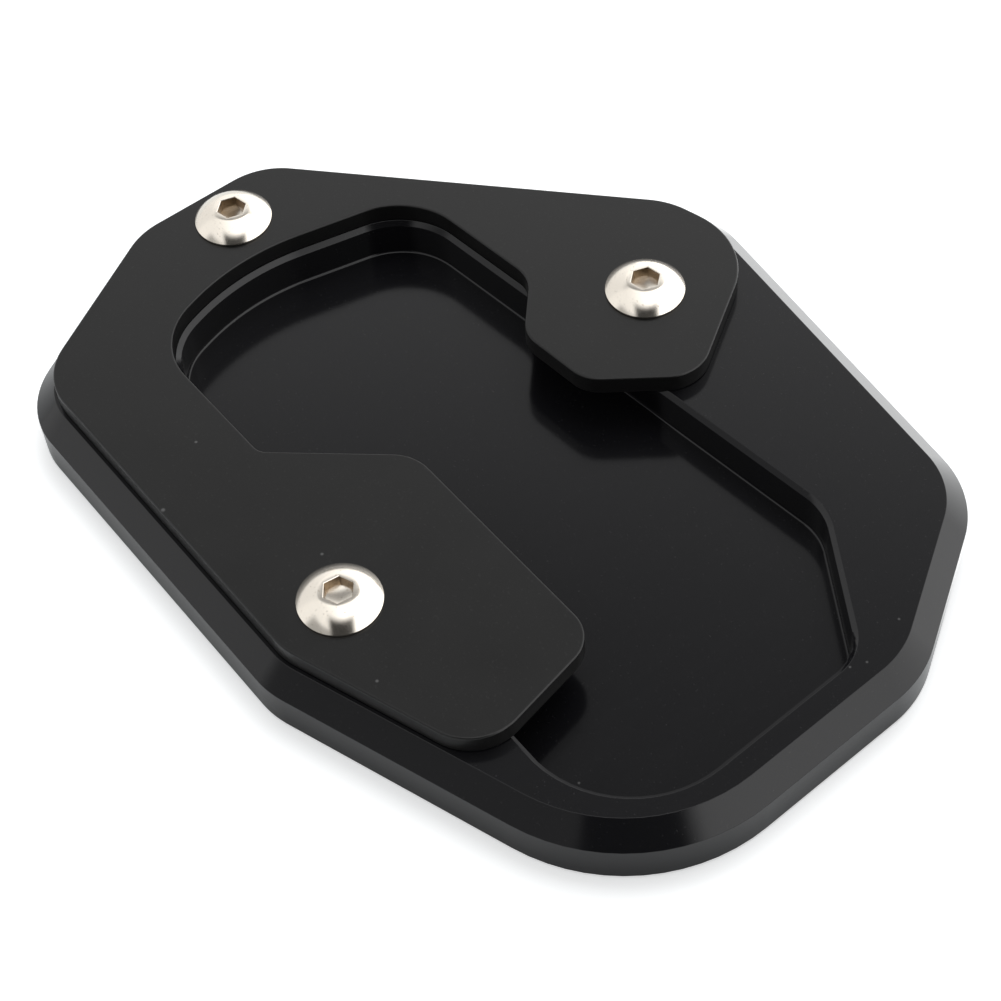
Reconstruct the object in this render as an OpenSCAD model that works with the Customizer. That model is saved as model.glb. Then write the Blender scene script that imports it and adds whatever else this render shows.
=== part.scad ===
// Foot enlarger for a kickstand: a pocketed base plate, a C-shaped clamp plate
// that grips the stand's foot from above, and the screws that hold the two together.
// The origin is the middle of the base plate's outline, on its underside.

/* [Base plate] */
// length of the base plate along X
base_length = 110; // [80:1:160]
// width of the base plate along Y
base_width = 82.4; // [60:0.5:120]
// height of the base plate
base_height = 7.8; // [7:0.1:12]
// size of the slanted band round the upper edge
edge_chamfer = 2.6; // [1:0.1:3.5]
// size of the small break round the lower edge
lower_break = 0.4; // [0.2:0.1:1]

/* [Pocket for the stand's foot] */
// depth of the pocket
pocket_depth = 5; // [3:0.1:6]
// size of the slanted break round the pocket's mouth
mouth_chamfer = 0.55; // [0.2:0.05:1.2]
// radius where the pocket's wall meets its floor
floor_radius = 0.3; // [0.1:0.1:1]

/* [Clamp plate] */
// thickness of the clamp plate
clamp_thickness = 2.5; // [1.5:0.1:5]
// step from the flat of the base plate to the clamp plate's outer edge
clamp_inset = 0.4; // [0.1:0.1:2]

/* [Button head screws] */
// diameter of the thread
thread_diameter = 5; // [3:0.5:6]
// diameter of the head
head_diameter = 9.5; // [7.5:0.1:11]
// height of the head
head_height = 2.75; // [2:0.05:3.5]
// height of the upright rim under the dome
head_rim = 0.35; // [0.1:0.05:0.8]
// width of the six-sided socket across its flats
socket_width = 3; // [2:0.5:4]
// depth of the six-sided socket
socket_depth = 1.6; // [1:0.1:2]
// size of the slanted break round the thread's tip
tip_chamfer = 0.5; // [0.2:0.1:0.8]
// gap between the screw's tip and the underside of the base plate
tip_gap = 0.5; // [0.2:0.1:2]
// gap all round between the thread and its bore in the base plate
thread_gap = 0.05; // [0.02:0.01:0.2]
// gap all round between the thread and its hole in the clamp plate
clamp_hole_gap = 0.25; // [0.1:0.05:0.5]

/* [Hidden] */
$fn = 64;

black_anodised = [0.07, 0.07, 0.075];
black_blasted = [0.13, 0.13, 0.135];
stainless = [0.82, 0.79, 0.74];

// Each corner is [place along X, place along Y, radius]: the places are parts of
// half the length and half the width, the radius is a part of half the width.
base_corners = [
    [-0.747, -1.000, 0.280],
    [-0.998, -0.422, 0.306],
    [-1.000, 0.066, 0.291],
    [-0.204, 1.014, 0.257],
    [0.740, 0.847, 0.316],
    [0.985, 0.323, 0.359],
    [1.009, -0.629, 0.539],
    [0.195, -1.000, 0.296]
];
pocket_corners = [
    [-0.635, -0.595, 0.214],
    [-0.725, -0.245, 0.680],
    [-0.629, 0.301, 0.223],
    [0.589, 0.466, 0.187],
    [0.882, 0.214, 0.150],
    [0.904, -0.587, 0.320]
];
// free corners of the clamp plate's two lugs, in the same measure
side_lug_corners = [
    [-0.025, 0.949, 0.257],
    [0.193, 0.488, 0.131],
    [0.044, 0.235, 0.114],
    [-0.140, 0.214, 0.109]
];
front_lug_corners = [
    [-0.029, -0.284, 0.141],
    [0.555, -0.286, 0.107]
];
// places of the screws, in the same measure
rear_screw_place = [-0.839, -0.157];
side_screw_place = [-0.069, 0.586];
front_screw_place = [0.169, -0.725];
// how far each lug runs along the outer edge and along the pocket's mouth, as a part of that edge
side_lug_reach = 0.93;
side_lug_mouth = 0.305;
front_lug_reach = 0.57;
front_lug_mouth = 0.745;
// radii of the lugs' corners at those places, as parts of half the width
side_reach_radius = 0.248;
side_mouth_radius = 0.121;
front_reach_radius = 0.153;
front_mouth_radius = 0.049;
// number of steps in the arc at each corner of a swept solid
arc_steps = 14;
// largest share of an edge that the arcs at its two ends may take up
arc_share = 0.99;
// number of steps in the dome of a screw head
dome_steps = 8;
// radius of the flat on top of a screw head, as a part of the socket's width
flat_part = 0.78;
// depth and width of the drill point under the socket, as parts of the socket's width
point_depth = 0.25;
point_width = 0.98;
// how far each screw's socket is turned, in degrees
rear_turn = 12;
side_turn = 10;
front_turn = 22;
// how far the cuts run past a surface
past = 1;
// number of steps in the round at the pocket's floor
floor_steps = 4;

half_length = base_length / 2;
half_width = base_width / 2;
pocket_floor = base_height - pocket_depth;
clamp_top = base_height + clamp_thickness;

function on_plan(p) = [p[0] * half_length, p[1] * half_width];
function corner_at(c) = [c[0] * half_length, c[1] * half_width, c[2] * half_width];
function flat_of(c) = [c[0], c[1]];
function unit(v) = v / norm(v);
// the outlines run clockwise, so outward is to the left of the way along them
function normal_of(v) = [-v[1], v[0]];
function angle_of(v) = atan2(v[1], v[0]);
function between(a, b, part) = a + (b - a) * part;
function before(c, i) = flat_of(c[(i + len(c) - 1) % len(c)]);
function after(c, i) = flat_of(c[(i + 1) % len(c)]);
function way_in(c, i) = unit(flat_of(c[i]) - before(c, i));
function way_out(c, i) = unit(after(c, i) - flat_of(c[i]));
// turn at a corner: above zero where the outline bends outward, below zero where it bends inward
function turn_at(c, i) = asin(max(-1, min(1, cross(way_out(c, i), way_in(c, i)))));
function reach_at(c, i) = c[i][2] * tan(abs(turn_at(c, i)) / 2);
function start_of(c, i) = flat_of(c[i]) - way_in(c, i) * reach_at(c, i);
function end_of(c, i) = flat_of(c[i]) + way_out(c, i) * reach_at(c, i);
function centre_of(c, i) = start_of(c, i) - normal_of(way_in(c, i)) * c[i][2] * sign(turn_at(c, i));
// a radius is let down only where two arcs would meet on the edge between them
function room_after(c, i) =
    let (next = (i + 1) % len(c), edge = norm(flat_of(c[next]) - flat_of(c[i])))
    min(1, arc_share * edge / (reach_at(c, i) + reach_at(c, next)));
function fitted(c) = [
    for (i = [0 : len(c) - 1])
    let (room = min(room_after(c, i), room_after(c, (i + len(c) - 1) % len(c))))
    [c[i][0], c[i][1], c[i][2] * room]
];
// the same outline moved inward by d, with its radii made smaller by d
function inward(c, d) = [
    for (i = [0 : len(c) - 1])
    let (a = normal_of(way_in(c, i)), b = normal_of(way_out(c, i)))
    let (p = flat_of(c[i]) - unit(a + b) * d / cos(turn_at(c, i) / 2))
    [p[0], p[1], c[i][2] - d]
];

base_outline = [for (c = base_corners) corner_at(c)];
pocket_outline = [for (c = pocket_corners) corner_at(c)];
seat_outline = inward(base_outline, edge_chamfer + clamp_inset);
mouth_outline = inward(pocket_outline, -mouth_chamfer);

function with_radius(p, part) = [p[0], p[1], part * half_width];
side_reach = between(flat_of(seat_outline[2]), flat_of(seat_outline[3]), side_lug_reach);
side_mouth = between(flat_of(mouth_outline[2]), flat_of(mouth_outline[3]), side_lug_mouth);
front_mouth = between(flat_of(mouth_outline[5]), flat_of(mouth_outline[0]), front_lug_mouth);
front_reach = between(flat_of(seat_outline[7]), flat_of(seat_outline[6]), front_lug_reach);

clamp_outline = fitted(concat(
    [seat_outline[0], seat_outline[1], seat_outline[2]],
    [with_radius(side_reach, side_reach_radius)],
    [for (c = side_lug_corners) corner_at(c)],
    [with_radius(side_mouth, side_mouth_radius)],
    [mouth_outline[2], mouth_outline[1], mouth_outline[0]],
    [with_radius(front_mouth, front_mouth_radius)],
    [for (c = front_lug_corners) corner_at(c)],
    [with_radius(front_reach, front_reach_radius)],
    [seat_outline[7]]
));

// the outline as points, with each corner's arc in equal steps, moved outward by d
function arc_points(c, i, d) =
    let (first = angle_of(normal_of(way_in(c, i))), turn = turn_at(c, i), side = sign(turn))
    [for (k = [0 : arc_steps])
        let (a = first - turn * k / arc_steps)
        centre_of(c, i) + (side * c[i][2] + d) * [cos(a), sin(a)]];
function ring(c, d) = [for (i = [0 : len(c) - 1]) each arc_points(c, i, d)];

// a solid swept round an outline whose corners bend outward or inward; the rim is a
// list of [distance outward, height] points from the lowest point to the highest
module swept_solid(outline, rim) {
    around = len(ring(outline, 0));
    levels = len(rim);
    polyhedron(
        points = [for (p = rim) each [for (q = ring(outline, p[0])) [q[0], q[1], p[1]]]],
        faces = concat(
            [[for (j = [around - 1 : -1 : 0]) j]],
            [[for (j = [0 : around - 1]) (levels - 1) * around + j]],
            [for (k = [0 : levels - 2], j = [0 : around - 1])
                let (next = (j + 1) % around)
                [k * around + j, k * around + next, (k + 1) * around + next, (k + 1) * around + j]]
        )
    );
}

module at_place(place) {
    p = on_plan(place);
    translate([p[0], p[1], 0])
        children();
}

module at_screws() {
    for (place = [rear_screw_place, side_screw_place, front_screw_place])
        at_place(place)
            children();
}

module pocket_cut() {
    round_points = [
        for (k = [0 : floor_steps])
        let (a = 90 * k / floor_steps)
        [floor_radius * (sin(a) - 1), pocket_floor + floor_radius * (1 - cos(a))]
    ];
    swept_solid(pocket_outline, concat(
        round_points,
        [[0, base_height - mouth_chamfer]],
        [[mouth_chamfer, base_height]],
        [[mouth_chamfer, base_height + past]]
    ));
}

module base_plate() {
    color(black_anodised)
        difference() {
            swept_solid(base_outline, [
                [-lower_break, 0],
                [0, lower_break],
                [0, base_height - edge_chamfer],
                [-edge_chamfer, base_height]
            ]);
            pocket_cut();
            at_screws()
                translate([0, 0, -past])
                    cylinder(d = thread_diameter + 2 * thread_gap, h = base_height + 2 * past);
        }
}

module clamp_plate() {
    color(black_blasted)
        difference() {
            translate([0, 0, base_height])
                linear_extrude(clamp_thickness)
                    polygon(ring(clamp_outline, 0));
            at_screws()
                translate([0, 0, base_height - past])
                    cylinder(d = thread_diameter + 2 * clamp_hole_gap, h = clamp_thickness + 2 * past);
        }
}

// the screw is one turned profile, with its six-sided socket cut from the top
module button_screw(turned) {
    thread_radius = thread_diameter / 2;
    head_radius = head_diameter / 2;
    flat_radius = socket_width * flat_part;
    head_top = clamp_top + head_height;
    // the dome is part of a ball that passes through the rim and the flat on top
    dome_rise = head_height - head_rim;
    ball_drop = (head_radius * head_radius - flat_radius * flat_radius - dome_rise * dome_rise) / (2 * dome_rise);
    ball_radius = norm([head_radius, ball_drop]);
    low_angle = asin(ball_drop / ball_radius);
    high_angle = acos(flat_radius / ball_radius);
    dome = [
        for (k = [0 : dome_steps])
        let (a = between(low_angle, high_angle, k / dome_steps))
        [ball_radius * cos(a), clamp_top + head_rim - ball_drop + ball_radius * sin(a)]
    ];
    color(stainless)
        difference() {
            rotate_extrude()
                polygon(concat(
                    [[0, tip_gap]],
                    [[thread_radius - tip_chamfer, tip_gap]],
                    [[thread_radius, tip_gap + tip_chamfer]],
                    [[thread_radius, clamp_top]],
                    [[head_radius, clamp_top]],
                    dome,
                    [[0, head_top]]
                ));
            rotate([0, 0, turned])
                translate([0, 0, head_top - socket_depth])
                    cylinder(d = socket_width / cos(30), h = socket_depth + past, $fn = 6);
            translate([0, 0, head_top - socket_depth - socket_width * point_depth])
                cylinder(d1 = 0, d2 = socket_width * point_width, h = socket_width * point_depth);
        }
}

module screw_rear() {
    at_place(rear_screw_place)
        button_screw(rear_turn);
}

module screw_side() {
    at_place(side_screw_place)
        button_screw(side_turn);
}

module screw_front() {
    at_place(front_screw_place)
        button_screw(front_turn);
}

base_plate();
clamp_plate();
screw_rear();
screw_side();
screw_front();
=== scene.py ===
"""Looks of a kickstand foot enlarger: black anodised base plate, blasted clamp plate, stainless screws."""
import math

import bmesh
import bpy
import numpy as np
from mathutils import Matrix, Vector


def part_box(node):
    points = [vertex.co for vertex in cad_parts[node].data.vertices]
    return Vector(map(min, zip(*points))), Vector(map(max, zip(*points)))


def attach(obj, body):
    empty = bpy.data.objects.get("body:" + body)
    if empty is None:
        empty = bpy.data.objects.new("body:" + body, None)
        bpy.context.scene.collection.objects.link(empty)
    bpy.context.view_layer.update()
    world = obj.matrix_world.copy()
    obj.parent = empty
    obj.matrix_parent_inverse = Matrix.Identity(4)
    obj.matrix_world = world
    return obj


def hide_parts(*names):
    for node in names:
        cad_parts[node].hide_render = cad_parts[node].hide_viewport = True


bl_info = {
    "name": "Kickstand foot enlarger",
    "version": (1, 0, 0),
    "blender": (4, 5, 0),
    "location": "View3D > Sidebar > Foot enlarger",
    "description": "Dresses the plates and screws of a kickstand foot enlarger and sets its stage",
    "category": "Object",
}

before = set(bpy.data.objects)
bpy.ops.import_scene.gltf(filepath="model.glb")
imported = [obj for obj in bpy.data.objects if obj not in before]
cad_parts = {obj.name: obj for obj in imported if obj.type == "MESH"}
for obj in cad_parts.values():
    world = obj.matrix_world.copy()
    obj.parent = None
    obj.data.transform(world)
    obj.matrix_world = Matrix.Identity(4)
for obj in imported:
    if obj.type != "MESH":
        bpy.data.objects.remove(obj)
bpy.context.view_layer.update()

# each screw with the turn of its socket, in degrees
SCREWS = {"screw_rear": 12, "screw_side": 10, "screw_front": 22}
# places of dust on the base plate and of nicks on the clamp plate: x, y, z and radius in millimetres
BASE_DUST = (
    (48.22, 15.05, 7.8, 0.2),
    (49.28, 6.92, 7.8, 0.2),
    (39.53, -21.86, 2.8, 0.2),
    (49.97, 8.7, 7.8, 0.2))
CLAMP_NICKS = (
    (-19.27, -29.67, 10.3, 0.25),
    (3, -27.8, 10.3, 0.25),
    (20.12, -32.87, 10.3, 0.25),
    (-30.22, -38.35, 10.3, 0.34),
    (-13.49, -37.85, 10.3, 0.34))
# the screws, in metres: diameter of the thread, break at its tip and under the head's rim
THREAD = 0.005
TIP_BREAK = 0.0005
RIM_BREAK = 0.00008
# radius of the flat on top of a head, and radius and depth of the drill point under its socket,
# each as a part of the socket's width
FLAT_RADIUS = 0.70
POINT_RADIUS = 0.46
POINT_DEPTH = 0.175
# the plates' meshes: points nearer than this are one, and faces this close in angle are one face
MERGE_DISTANCE = 1e-6
FLAT_ANGLE = math.radians(0.4)
# edges sharper than these angles get a bevel on the plates and stay crisp on the screws
PLATE_CREASE = math.radians(33)
SCREW_CREASE = math.radians(35)
# the large lamp, in metres: its side, its height, and how far it lies beyond and to the right
LAMP_SIDE = 0.7
LAMP_HEIGHT = 0.75
LAMP_BEYOND = 0.34
LAMP_RIGHT = 0.16
# the floor's colour, and how much more it glows for glossy rays at the object's far right, as a
# painted reflection for the edges there: the glow grows between the two places in FAR_RIGHT, in
# metres to the right, and fades out between the two in FAR_BEYOND, in metres towards the camera
FLOOR_COLOUR = (0.91, 0.93, 0.94, 1)
FAR_GLOW = 2.6
FAR_RIGHT = (0.008, 0.028)
FAR_BEYOND = (0.015, 0.035)
# plan direction from the object towards the camera, and to the camera's right
TOWARDS = (0.8271, -0.5621, 0.0)
RIGHTWARDS = (0.5621, 0.8271, 0.0)


class FootEnlargerLooks(bpy.types.PropertyGroup):
    base_colour: bpy.props.FloatVectorProperty(
        name="Base plate colour", description="Colour of the anodised base plate",
        default=(0.006, 0.006, 0.007), subtype="COLOR", min=0, max=1)
    clamp_colour: bpy.props.FloatVectorProperty(
        name="Clamp plate colour", description="Colour of the blasted clamp plate",
        default=(0.0065, 0.0065, 0.0065), subtype="COLOR", min=0, max=1)
    steel_colour: bpy.props.FloatVectorProperty(
        name="Steel colour", description="Colour of the stainless screws",
        default=(0.86, 0.80, 0.71), subtype="COLOR", min=0, max=1)
    # painted shade: the socket walls get this darker brown colour in place of the shade that falls inside
    # the recess
    recess_shade_colour: bpy.props.FloatVectorProperty(
        name="Recess colour", description="Colour of the walls inside the screws' sockets",
        default=(0.24, 0.175, 0.11), subtype="COLOR", min=0, max=1)
    base_roughness: bpy.props.FloatProperty(
        name="Base plate roughness", description="Roughness of the base plate",
        default=0.13, min=0, max=1, subtype="FACTOR")
    clamp_roughness: bpy.props.FloatProperty(
        name="Clamp plate roughness", description="Roughness of the clamp plate",
        default=0.30, min=0, max=1, subtype="FACTOR")
    steel_roughness: bpy.props.FloatProperty(
        name="Steel roughness", description="Roughness of the screws",
        default=0.17, min=0, max=1, subtype="FACTOR")
    recess_roughness: bpy.props.FloatProperty(
        name="Recess roughness", description="Roughness of the walls inside the screws' sockets",
        default=0.38, min=0, max=1, subtype="FACTOR")
    base_break: bpy.props.FloatProperty(
        name="Base plate edge", description="Width of the fine break on the base plate's edges",
        default=0.00004, unit="LENGTH")
    clamp_break: bpy.props.FloatProperty(
        name="Clamp plate edge", description="Width of the fine break on the clamp plate's edges",
        default=0.00024, unit="LENGTH")
    head_diameter: bpy.props.FloatProperty(
        name="Head diameter", description="Diameter of the screws' heads", default=0.0095, unit="LENGTH")
    head_height: bpy.props.FloatProperty(
        name="Head height", description="Height of the low dome over the clamp plate",
        default=0.0020, unit="LENGTH")
    head_rim: bpy.props.FloatProperty(
        name="Head rim", description="Height of the upright rim under the dome",
        default=0.0003, unit="LENGTH")
    socket_width: bpy.props.FloatProperty(
        name="Socket width", description="Width of the six-sided socket across its flats",
        default=0.00315, unit="LENGTH")
    socket_depth: bpy.props.FloatProperty(
        name="Socket depth", description="Depth of the six-sided socket", default=0.0013, unit="LENGTH")
    socket_lead: bpy.props.FloatProperty(
        name="Socket lead", description="Size of the slanted break round the socket's mouth",
        default=0.00006, unit="LENGTH")


class FootEnlargerStage(bpy.types.PropertyGroup):
    camera_elevation: bpy.props.FloatProperty(
        name="Camera elevation", description="Height of the camera above the horizon, as an angle",
        default=math.radians(52.39), subtype="ANGLE")
    camera_roll: bpy.props.FloatProperty(
        name="Camera roll", description="Turn of the camera about its own axis",
        default=math.radians(-4.99), subtype="ANGLE")
    plan_turn: bpy.props.FloatProperty(
        name="Plan turn", description="Turn of the object about the vertical, as the camera sees it",
        default=math.radians(-55.8), subtype="ANGLE")
    camera_distance: bpy.props.FloatProperty(
        name="Camera distance", description="Distance from the camera to the point it looks at",
        default=0.24170, unit="LENGTH")
    aim: bpy.props.FloatVectorProperty(
        name="Aim", description="Point in the middle of the picture",
        default=(0.008277, -0.007367, 0.0078), subtype="TRANSLATION")
    focal_pixels: bpy.props.FloatProperty(
        name="Focal length in pixels", description="Focal length of the camera in pixels of the picture",
        default=2162.3)
    picture_width: bpy.props.FloatProperty(
        name="Picture width", description="Width of the picture in pixels", default=1001)
    floor_size: bpy.props.FloatProperty(
        name="Floor size", description="Length of the floor's side", default=6.0, unit="LENGTH")
    floor_drop: bpy.props.FloatProperty(
        name="Floor drop", description="Gap that keeps the floor clear of the flat underside",
        default=0.00005, unit="LENGTH")
    floor_glow: bpy.props.FloatProperty(
        name="Floor glow", description="Level that the floor adds for the camera", default=0.45)
    key_power: bpy.props.FloatProperty(
        name="Key lamp", description="Power of the large lamp", default=4.0)
    sky_level: bpy.props.FloatProperty(
        name="Surroundings", description="Level of the even light from all round", default=0.55)


def new_material(name):
    """A material with an empty node tree and an output; returns (material, nodes, links, output)."""
    m = bpy.data.materials.new(name)
    m.use_nodes = True
    m.node_tree.nodes.clear()
    out = m.node_tree.nodes.new("ShaderNodeOutputMaterial")
    return m, m.node_tree.nodes, m.node_tree.links, out


def math_node(nodes, links, operation, a, b, clamp=False):
    """A Math node of that operation; a and b are sockets or numbers. Returns its output."""
    n = nodes.new("ShaderNodeMath")
    n.operation = operation
    n.use_clamp = clamp
    for k, v in enumerate((a, b)):
        if isinstance(v, (int, float)):
            n.inputs[k].default_value = v
        else:
            links.new(v, n.inputs[k])
    return n.outputs[0]


def ramp_between(nodes, links, value, low, high, to_low=0.0, to_high=1.0):
    """Smooth step of a value from low to high, mapped to to_low .. to_high."""
    n = nodes.new("ShaderNodeMapRange")
    n.interpolation_type = "SMOOTHSTEP"
    links.new(value, n.inputs["Value"])
    n.inputs["From Min"].default_value = low
    n.inputs["From Max"].default_value = high
    n.inputs["To Min"].default_value = to_low
    n.inputs["To Max"].default_value = to_high
    return n.outputs["Result"]


def noise(nodes, links, where, scale, detail=2.0, roughness=0.5):
    """Noise texture on the given coordinates; returns its value output."""
    n = nodes.new("ShaderNodeTexNoise")
    links.new(where, n.inputs["Vector"])
    n.inputs["Scale"].default_value = scale
    n.inputs["Detail"].default_value = detail
    n.inputs["Roughness"].default_value = roughness
    return n.outputs["Fac"]


def stretched(nodes, links, where, scale):
    """The coordinates stretched by a factor on each axis."""
    n = nodes.new("ShaderNodeMapping")
    links.new(where, n.inputs["Vector"])
    n.inputs["Scale"].default_value = scale
    return n.outputs["Vector"]


def bumped(nodes, links, height, distance):
    """A Bump node on a height, whose unit stands for `distance` metres; returns its normal."""
    n = nodes.new("ShaderNodeBump")
    links.new(height, n.inputs["Height"])
    n.inputs["Distance"].default_value = distance
    n.inputs["Strength"].default_value = 1.0
    return n.outputs["Normal"]


def marked(nodes, links, where, places):
    """Share of a mark at each point: 1 within a third of a place's radius, falling to 0 at the radius.

    A place is (x, y, z, radius) in millimetres.
    """
    share = None
    for x, y, z, radius in places:
        n = nodes.new("ShaderNodeVectorMath")
        n.operation = "DISTANCE"
        links.new(where, n.inputs[0])
        n.inputs[1].default_value = (x / 1000, y / 1000, z / 1000)
        near = ramp_between(nodes, links, n.outputs["Value"], radius / 3000, radius / 1000, 1.0, 0.0)
        share = near if share is None else math_node(nodes, links, "MAXIMUM", share, near)
    return share


def finish_material(name, colour, roughness, spread, metallic, ior, grain, grain_height, smear,
                    fleck, fleck_colour, places=(), mark_colour=(0, 0, 0)):
    """Surface with a fine grain, a roughness that wanders, paler flecks and a few marks.

    The grain is noise with `grain` cells per metre, as a bump `grain_height` metres high. The
    roughness is `roughness` plus `spread` times a coarse noise from -1 to 1, on coordinates
    stretched by `smear`. The colour is mixed towards fleck_colour where a third noise passes
    `fleck`, and towards mark_colour at the places of nicks and dust.
    """
    m, nodes, links, out = new_material(name)
    where = nodes.new("ShaderNodeTexCoord").outputs["Object"]
    shader = nodes.new("ShaderNodeBsdfPrincipled")
    shader.inputs["Metallic"].default_value = metallic
    shader.inputs["IOR"].default_value = ior
    wide = noise(nodes, links, stretched(nodes, links, where, smear), 1.0, 3.0, 0.6)
    rough = math_node(nodes, links, "MULTIPLY", math_node(nodes, links, "SUBTRACT", wide, 0.5), 2.0 * spread)
    links.new(math_node(nodes, links, "ADD", rough, roughness, clamp=True), shader.inputs["Roughness"])
    fine = noise(nodes, links, where, grain, 3.0, 0.6)
    links.new(bumped(nodes, links, fine, grain_height), shader.inputs["Normal"])
    spots = noise(nodes, links, where, grain * 0.7, 1.0, 0.5)
    part = ramp_between(nodes, links, spots, fleck, fleck + 0.08)
    mix = nodes.new("ShaderNodeMix")
    mix.data_type = "RGBA"
    links.new(part, mix.inputs["Factor"])
    mix.inputs[6].default_value = (*colour, 1)
    mix.inputs[7].default_value = (*fleck_colour, 1)
    tint = mix.outputs[2]
    if places:
        last = nodes.new("ShaderNodeMix")
        last.data_type = "RGBA"
        links.new(marked(nodes, links, where, places), last.inputs["Factor"])
        links.new(tint, last.inputs[6])
        last.inputs[7].default_value = (*mark_colour, 1)
        tint = last.outputs[2]
    links.new(tint, shader.inputs["Base Color"])
    links.new(shader.outputs[0], out.inputs["Surface"])
    return m


def dress(node, material, edge, segments=3):
    """Gives a CAD node its material and rounds its crisp edges by a bevel as wide as `edge`."""
    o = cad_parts[node]
    mesh = o.data
    mesh.polygons.foreach_set("use_smooth", np.ones(len(mesh.polygons), bool))
    mesh.materials.clear()
    mesh.materials.append(material)
    weld = o.modifiers.new("weld", "WELD")
    weld.merge_threshold = MERGE_DISTANCE
    flat = o.modifiers.new("flat", "DECIMATE")
    flat.decimate_type = "DISSOLVE"
    flat.angle_limit = FLAT_ANGLE
    bevel = o.modifiers.new("edge", "BEVEL")
    bevel.width = edge
    bevel.segments = segments
    bevel.limit_method = "ANGLE"
    bevel.angle_limit = PLATE_CREASE
    bevel.harden_normals = True
    bevel.miter_outer = "MITER_ARC"
    weighted = o.modifiers.new("normals", "WEIGHTED_NORMAL")
    weighted.keep_sharp = True
    weighted.weight = 80


def screw_mesh(looks, name, turned, around=96, dome_steps=14):
    """Mesh of one button head screw, as rings of points round its axis, on the place of its CAD node.

    Each ring k has a height z_k and, at the angle t, the radius (1 - h_k) * r_k + h_k * w_k / cos(b),
    where b is the angle of t from the nearest middle of a socket's flat: h_k is 0 for round rings
    and 1 for six-sided ones of half width w_k. The dome's rings lie on a ball through the rim and
    the flat on top.
    """
    low, high = (np.array(c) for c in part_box(name))
    middle = (low + high) / 2
    tip = low[2]
    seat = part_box("clamp_plate")[1][2]
    head, rim, rise = looks.head_diameter / 2, looks.head_rim, looks.head_height - looks.head_rim
    thread, top = THREAD / 2, seat + looks.head_height
    flat = looks.socket_width * FLAT_RADIUS
    drop = (head ** 2 - flat ** 2 - rise ** 2) / (2 * rise)
    ball = math.hypot(head, drop)
    angles = np.linspace(math.asin(drop / ball), math.acos(flat / ball), dome_steps + 1)
    half, lead = looks.socket_width / 2, looks.socket_lead
    floor = top - looks.socket_depth
    rings = [(0.0, tip, 0), (thread - TIP_BREAK, tip, 0), (thread, tip + TIP_BREAK, 0),
             (thread, seat, 0), (head - RIM_BREAK, seat, 0), (head, seat + RIM_BREAK, 0)]
    rings += [(ball * math.cos(a), seat + rim - drop + ball * math.sin(a), 0) for a in angles]
    rings += [(half + lead, top, 1), (half, top - lead, 1), (half, floor, 1),
              (looks.socket_width * POINT_RADIUS, floor, 0),
              (0.0, floor - looks.socket_width * POINT_DEPTH, 0)]
    radius, height, six = (np.array(v, float)[:, None] for v in zip(*rings))
    t = np.arange(around) * (2 * np.pi / around)
    b = np.mod(t, np.pi / 3) - np.pi / 6
    r = radius * (1 - six) + six * radius / np.cos(b)
    x, y = middle[0] + r * np.cos(t + turned), middle[1] + r * np.sin(t + turned)
    points = np.stack([x, y, np.broadcast_to(height, x.shape)], -1).reshape(-1, 3)
    here = np.arange((len(rings) - 1) * around).reshape(-1, around)
    after = np.roll(here, -1, axis=1)
    faces = np.stack([here, after, after + around, here + around], -1).reshape(-1, 4)
    mesh = bpy.data.meshes.new("button_" + name)
    mesh.from_pydata(points.tolist(), [], faces.tolist())
    # the walls of the socket are the band of faces before the last two; they get the second material, whose
    # darker brown colour is painted shade of the recess
    band = np.arange(len(faces)) // around
    mesh.polygons.foreach_set("material_index", (band == len(rings) - 4).astype(np.int32))
    work = bmesh.new()
    work.from_mesh(mesh)
    bmesh.ops.remove_doubles(work, verts=work.verts, dist=1e-7)
    work.to_mesh(mesh)
    work.free()
    mesh.polygons.foreach_set("use_smooth", np.ones(len(mesh.polygons), bool))
    mesh.set_sharp_from_angle(angle=SCREW_CREASE)
    mesh.update()
    return mesh


class FOOT_OT_base_plate(bpy.types.Operator):
    """Gives the base plate its glossy black anodised finish and fine edge breaks"""
    bl_idname = "foot.base_plate"
    bl_label = "Base plate"

    def execute(self, context):
        looks = context.scene.foot_looks
        m = finish_material(
            "black_anodised", tuple(looks.base_colour), looks.base_roughness, spread=0.03,
            metallic=0.0, ior=1.4, grain=5200.0, grain_height=0.0000015, smear=(500.0, 90.0, 500.0),
            fleck=0.70, fleck_colour=(0.02, 0.02, 0.021),
            places=BASE_DUST, mark_colour=(0.07, 0.07, 0.07))
        dress("base_plate", m, looks.base_break)
        return {"FINISHED"}


class FOOT_OT_clamp_plate(bpy.types.Operator):
    """Gives the clamp plate its matte blasted finish and fine edge breaks"""
    bl_idname = "foot.clamp_plate"
    bl_label = "Clamp plate"

    def execute(self, context):
        looks = context.scene.foot_looks
        m = finish_material(
            "black_blasted", tuple(looks.clamp_colour), looks.clamp_roughness, spread=0.05,
            metallic=0.0, ior=1.4, grain=4200.0, grain_height=0.000006, smear=(120.0, 120.0, 120.0),
            fleck=0.66, fleck_colour=(0.013, 0.013, 0.013),
            places=CLAMP_NICKS, mark_colour=(0.08, 0.08, 0.08))
        dress("clamp_plate", m, looks.clamp_break)
        return {"FINISHED"}


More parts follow.
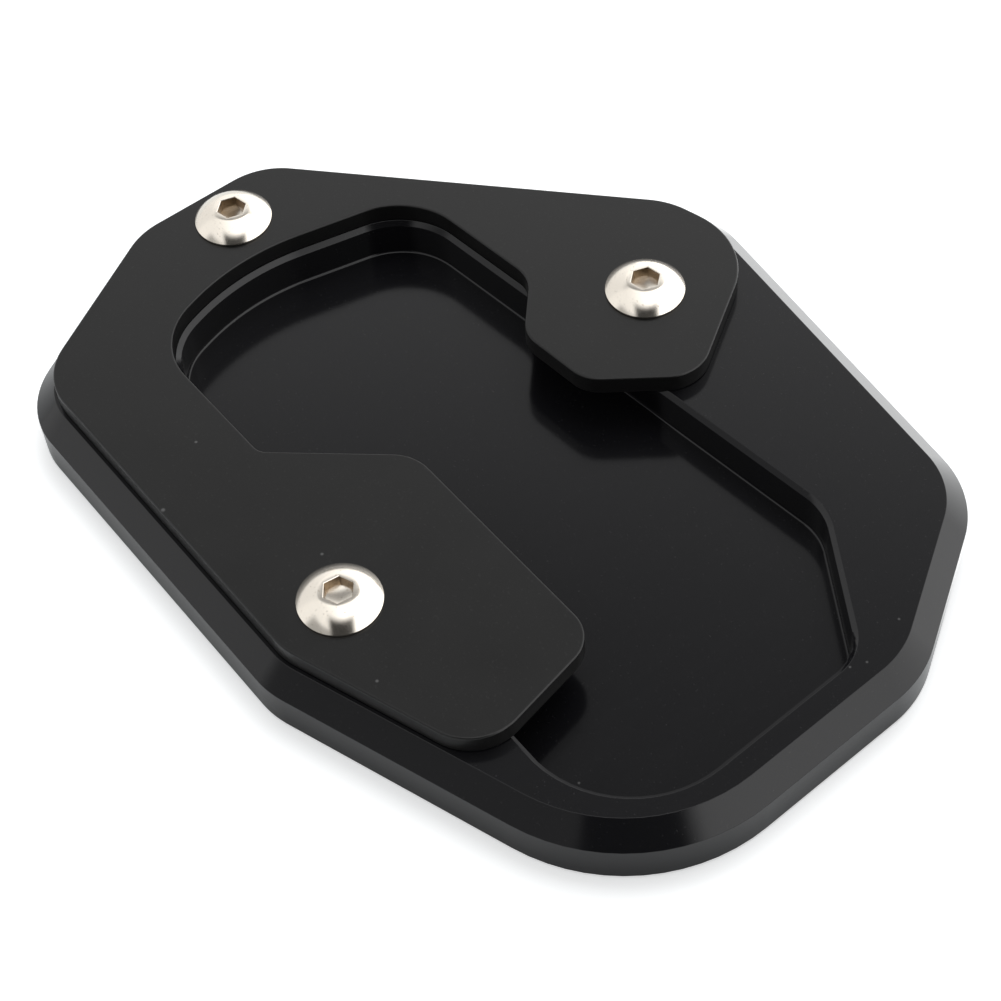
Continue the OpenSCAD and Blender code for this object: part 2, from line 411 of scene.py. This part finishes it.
class FOOT_OT_screws(bpy.types.Operator):
    """Gives the button head screws their satin stainless finish"""
    bl_idname = "foot.screws"
    bl_label = "Screws"

    def execute(self, context):
        looks = context.scene.foot_looks
        m = finish_material(
            "stainless", tuple(looks.steel_colour), looks.steel_roughness, spread=0.06,
            metallic=1.0, ior=1.5, grain=6000.0, grain_height=0.000002, smear=(900.0, 900.0, 900.0),
            fleck=0.68, fleck_colour=(0.62, 0.55, 0.46))
        # the second material is painted shade: a darker brown colour on the socket walls for the shade
        # inside the recess
        recess = finish_material(
            "stainless_recess_shade", tuple(looks.recess_shade_colour), looks.recess_roughness, spread=0.06,
            metallic=1.0, ior=1.5, grain=6000.0, grain_height=0.000003, smear=(900.0, 900.0, 900.0),
            fleck=0.60, fleck_colour=(0.16, 0.11, 0.07))
        for name, turned in SCREWS.items():
            piece = bpy.data.objects.new("button_" + name, screw_mesh(looks, name, math.radians(turned)))
            piece.data.materials.append(m)
            piece.data.materials.append(recess)
            context.scene.collection.objects.link(piece)
            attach(piece, "root")
            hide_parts(name)
        return {"FINISHED"}


def along(nodes, links, vector, direction):
    """Share of a vector along a direction."""
    n = nodes.new("ShaderNodeVectorMath")
    n.operation = "DOT_PRODUCT"
    links.new(vector, n.inputs[0])
    n.inputs[1].default_value = direction
    return n.outputs["Value"]


def stage_material(glow):
    """White floor: plain diffuse with a little glow for the camera.

    Glossy rays see the same floor, with more glow to the object's far right, so that the edges
    there mirror the white that lies behind them as a painted reflection, brighter than the floor itself.
    """
    m, nodes, links, out = new_material("stage_white")
    path = nodes.new("ShaderNodeLightPath")
    where = nodes.new("ShaderNodeNewGeometry").outputs["Position"]
    # painted reflection: a patch of extra glow at the floor's far right, seen only by glossy rays
    right = ramp_between(nodes, links, along(nodes, links, where, RIGHTWARDS), *FAR_RIGHT)
    far = ramp_between(nodes, links, along(nodes, links, where, TOWARDS), *FAR_BEYOND, 1.0, 0.0)
    corner = math_node(nodes, links, "MULTIPLY", right, far)
    beyond = math_node(nodes, links, "MULTIPLY", corner, glow * FAR_GLOW)
    plain = nodes.new("ShaderNodeBsdfDiffuse")
    plain.inputs["Color"].default_value = FLOOR_COLOUR
    emission = nodes.new("ShaderNodeEmission")
    level = math_node(nodes, links, "ADD",
                      math_node(nodes, links, "MULTIPLY", path.outputs["Is Camera Ray"], glow),
                      math_node(nodes, links, "MULTIPLY", path.outputs["Is Glossy Ray"], beyond))
    links.new(level, emission.inputs["Strength"])
    both = nodes.new("ShaderNodeAddShader")
    links.new(plain.outputs[0], both.inputs[0])
    links.new(emission.outputs[0], both.inputs[1])
    links.new(both.outputs[0], out.inputs["Surface"])
    return m


def surroundings(level):
    """World: even light for diffuse rays; for glossy rays a white studio with a dark zone round the camera.

    With u the height, t the share towards the camera and r the share to its right of a ray's
    direction, the mirrored level is 1.3 overhead and on the camera's side, times 0.8 on the left
    to 1.6 on the right; beyond the object it falls from 1.15 low down to 0.25 high up; and it is
    almost 0 where t is above 0.25, u below 0.78 and r between -0.34 and 0.30, and 0.4 of itself
    to the left of that where u is below 0.54.
    """
    world = bpy.data.worlds.new("studio")
    bpy.context.scene.world = world
    world.use_nodes = True
    nodes, links = world.node_tree.nodes, world.node_tree.links
    nodes.clear()
    out = nodes.new("ShaderNodeOutputWorld")
    back = nodes.new("ShaderNodeBackground")
    path = nodes.new("ShaderNodeLightPath")
    ray = nodes.new("ShaderNodeTexCoord").outputs["Generated"]

    def product(*values):
        total = values[0]
        for v in values[1:]:
            total = math_node(nodes, links, "MULTIPLY", total, v)
        return total

    def ramp(value, *numbers):
        return ramp_between(nodes, links, value, *numbers)

    height = along(nodes, links, ray, (0, 0, 1))
    toward = along(nodes, links, ray, TOWARDS)
    right = along(nodes, links, ray, RIGHTWARDS)
    beyond = ramp(height, 0.62, 0.88, 1.15, 0.25)
    over = ramp(toward, -0.46, -0.28)
    gain = math_node(nodes, links, "SUBTRACT", 1.3, beyond)
    open_level = math_node(nodes, links, "ADD", beyond, product(over, gain))
    middle = product(ramp(right, -0.50, -0.34), ramp(height, 0.78, 0.92, 1.0, 0.0))
    left = ramp(height, 0.54, 0.66, 0.62, 0.0)
    shade = math_node(nodes, links, "MAXIMUM", middle, left)
    zone = product(ramp(toward, 0.0, 0.25), ramp(right, 0.30, 0.50, 1.0, 0.0), shade, 0.97)
    side = ramp(right, -0.7, 0.7, 0.8, 1.6)
    level_out = product(open_level, side, math_node(nodes, links, "SUBTRACT", 1.0, zone))
    mixed = nodes.new("ShaderNodeMix")
    mixed.data_type = "FLOAT"
    links.new(path.outputs["Is Glossy Ray"], mixed.inputs["Factor"])
    mixed.inputs[2].default_value = level
    links.new(level_out, mixed.inputs[3])
    camera_white = nodes.new("ShaderNodeMix")
    camera_white.data_type = "FLOAT"
    links.new(path.outputs["Is Camera Ray"], camera_white.inputs["Factor"])
    links.new(mixed.outputs[0], camera_white.inputs[2])
    camera_white.inputs[3].default_value = 1.0
    links.new(camera_white.outputs[0], back.inputs["Strength"])
    back.inputs["Color"].default_value = (1, 1, 1, 1)
    links.new(back.outputs[0], out.inputs["Surface"])


def floor_mesh(size, drop, cells=8):
    """Square grid of points x, y = size * (k / cells - 1/2), at `drop` below the object's flat underside."""
    line = size * (np.arange(cells + 1) / cells - 0.5)
    x, y = np.meshgrid(line, line, indexing="ij")
    points = np.stack([x, y, np.full_like(x, -drop)], -1).reshape(-1, 3)
    corner = np.arange(cells * (cells + 1)).reshape(cells, cells + 1)[:, :-1].ravel()
    faces = np.stack([corner, corner + cells + 1, corner + cells + 2, corner + 1], 1)
    mesh = bpy.data.meshes.new("floor")
    mesh.from_pydata(points.tolist(), [], faces.tolist())
    mesh.update()
    return mesh


def camera_matrix(stage):
    """Matrix of the camera: it looks at the aim from camera_distance away.

    With a the plan turn, the camera's right is (cos a, -sin a, 0) before the roll, and its back
    is towards (-sin a, -cos a) on the plan, raised by the elevation.
    """
    a, e, r = stage.plan_turn, stage.camera_elevation, stage.camera_roll
    plan = np.array([[math.cos(a), math.sin(a), 0], [-math.sin(a), math.cos(a), 0], [0, 0, 1]])
    level = np.array([[1, 0, 0], [0, math.sin(e), math.cos(e)], [0, -math.cos(e), math.sin(e)]])
    roll = np.array([[math.cos(r), math.sin(r), 0], [-math.sin(r), math.cos(r), 0], [0, 0, 1]])
    axes = (roll @ level) @ plan.T
    place = np.array(stage.aim) + axes[2] * stage.camera_distance
    m = np.eye(4)
    m[:3, :3] = axes.T
    m[:3, 3] = place
    return Matrix(m.tolist())


class FOOT_OT_stage(bpy.types.Operator):
    """Builds the white floor, the surroundings, the lamp and the camera"""
    bl_idname = "foot.stage"
    bl_label = "Stage"

    def execute(self, context):
        stage = context.scene.foot_stage
        floor = bpy.data.objects.new("floor", floor_mesh(stage.floor_size, stage.floor_drop))
        floor.data.materials.append(stage_material(stage.floor_glow))
        context.scene.collection.objects.link(floor)
        surroundings(stage.sky_level)
        lamp = bpy.data.lights.new("key", "AREA")
        lamp.energy = stage.key_power
        lamp.size = LAMP_SIDE
        key = bpy.data.objects.new("key", lamp)
        context.scene.collection.objects.link(key)
        # above the object, beyond it and a little to the right, so that the shadow falls to the front left
        offset = (np.array([0, 0, LAMP_HEIGHT]) - LAMP_BEYOND * np.array(TOWARDS)
                  + LAMP_RIGHT * np.array(RIGHTWARDS))
        key.location = offset.tolist()
        key.rotation_mode = "QUATERNION"
        key.rotation_quaternion = key.location.to_track_quat("Z", "Y")
        key.visible_glossy = False
        data = bpy.data.cameras.new("camera")
        data.sensor_width = 36.0
        data.sensor_fit = "HORIZONTAL"
        data.lens = stage.focal_pixels / stage.picture_width * data.sensor_width
        data.clip_start, data.clip_end = 0.01, 20.0
        camera = bpy.data.objects.new("camera", data)
        camera.matrix_world = camera_matrix(stage)
        context.scene.collection.objects.link(camera)
        context.scene.camera = camera
        context.scene.view_settings.view_transform = "Standard"
        return {"FINISHED"}


class FOOT_PT_panel(bpy.types.Panel):
    """Lists the steps that dress the foot enlarger"""
    bl_idname = "FOOT_PT_panel"
    bl_label = "Foot enlarger"
    bl_space_type = "VIEW_3D"
    bl_region_type = "UI"
    bl_category = "Foot enlarger"

    def draw(self, context):
        for group in (context.scene.foot_looks, context.scene.foot_stage):
            for name in group.bl_rna.properties.keys():
                if name not in ("rna_type", "name"):
                    self.layout.prop(group, name)
        for step in STEPS:
            self.layout.operator(step)


STEPS = ("foot.base_plate", "foot.clamp_plate", "foot.screws", "foot.stage")
CLASSES = (
    FootEnlargerLooks, FootEnlargerStage, FOOT_OT_base_plate, FOOT_OT_clamp_plate,
    FOOT_OT_screws, FOOT_OT_stage, FOOT_PT_panel)


def register():
    for c in CLASSES:
        bpy.utils.register_class(c)
    bpy.types.Scene.foot_looks = bpy.props.PointerProperty(type=FootEnlargerLooks)
    bpy.types.Scene.foot_stage = bpy.props.PointerProperty(type=FootEnlargerStage)


def unregister():
    del bpy.types.Scene.foot_stage
    del bpy.types.Scene.foot_looks
    for c in reversed(CLASSES):
        bpy.utils.unregister_class(c)


def main():
    register()
    for step in STEPS:
        group, name = step.split(".")
        if getattr(getattr(bpy.ops, group), name)() != {"FINISHED"}:
            raise RuntimeError("the step " + step + " didn't finish")


if __name__ == "__main__":
    main()
